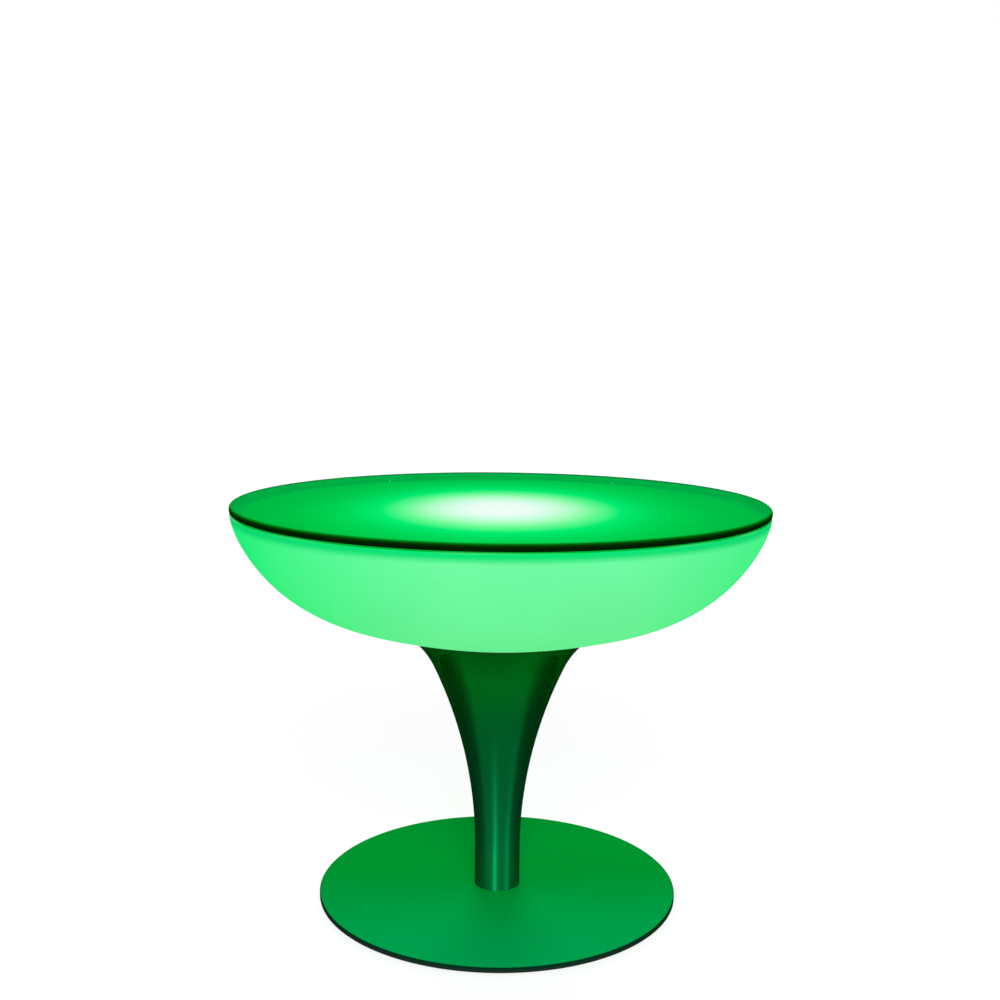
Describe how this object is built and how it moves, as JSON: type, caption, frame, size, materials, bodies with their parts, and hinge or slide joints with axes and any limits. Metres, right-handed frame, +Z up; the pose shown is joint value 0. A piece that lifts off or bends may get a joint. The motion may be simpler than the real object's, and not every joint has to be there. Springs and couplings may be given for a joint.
{
  "type": "light up led table",
  "caption": "Low round lounge table: glass top on a glowing closed bowl, trumpet-shaped metal column and round base plate, with a light unit inside.",
  "frame": {"origin": "centre of the footprint on the floor, under the column's axis", "axes": "+Z up along the column's axis, -Y the front that the picture shows, +Y the rear with the control panel"},
  "size_m": [0.5899, 0.59, 0.45],
  "materials": {
    "base_metal": null,
    "column_metal": null,
    "plain_steel": "zinc plated",
    "black_rubber": "matt",
    "grey_silicone": "matt",
    "clear_silicone": "clear",
    "lit_polyethylene": "milky, lit from inside",
    "brass": "turned",
    "white_plastic": "moulded",
    "black_plastic": "moulded, fine grain",
    "socket_plastic": "moulded",
    "button_rubber": "soft touch",
    "cell_wrap": "shrink wrap",
    "circuit_board": "solder mask",
    "aluminium_board": "white faced",
    "lamp_lens": "lit",
    "frosted_plastic": "frosted",
    "lead_jacket": "matt",
    "top_glass": "polished, tempered"
  },
  "bodies": {
    "table": {"base_plate": "base_metal", "base_pads": "black_rubber", "base_bolt": "plain_steel", "foot_plug": "plain_steel", "foot_plug_screws": "plain_steel", "trumpet_column": "column_metal", "tie_rod": "plain_steel", "mounting_plate": "plain_steel", "mounting_screws": "plain_steel", "lip_gasket": "black_rubber", "light_bowl": "lit_polyethylene", "bowl_inserts": "brass", "led_housing": "white_plastic", "housing_seal": "grey_silicone", "housing_screws": "plain_steel", "battery_cells": "cell_wrap", "battery_holder": "black_plastic", "control_board": "circuit_board", "board_screws": "plain_steel", "led_board": "aluminium_board", "leds": "lamp_lens", "led_diffuser": "frosted_plastic", "control_panel": "black_plastic", "panel_seal": "grey_silicone", "panel_screws": "plain_steel", "button_switch": "black_plastic", "panel_board": "circuit_board", "panel_board_screws": "plain_steel", "charge_socket": "socket_plastic", "socket_nut": "plain_steel", "lead_gland": "black_plastic", "panel_lead": "lead_jacket", "lead_connector": "white_plastic", "glass_pads": "clear_silicone"},
    "glass": {"tabletop_glass": "top_glass"},
    "button": {"power_button": "button_rubber", "switch_plunger": "white_plastic"},
    "plug": {"socket_plug": "black_rubber"}
  },
  "joints": [
    {"name": "glass_lift", "type": "slide", "parent": "table", "child": "glass", "axis": [0, 0, 1], "range_m": [0, 0.06]},
    {"name": "power_button_push", "type": "slide", "parent": "table", "child": "button", "axis": [0, -0.2684, 0.9633], "range_m": [0, 0.0015], "stiffness_N_per_m": 1200, "springref_m": -0.0005},
    {"name": "socket_plug_pull", "type": "slide", "parent": "table", "child": "plug", "axis": [0, 0.2684, -0.9633], "range_m": [0, 0.014]}
  ]
}
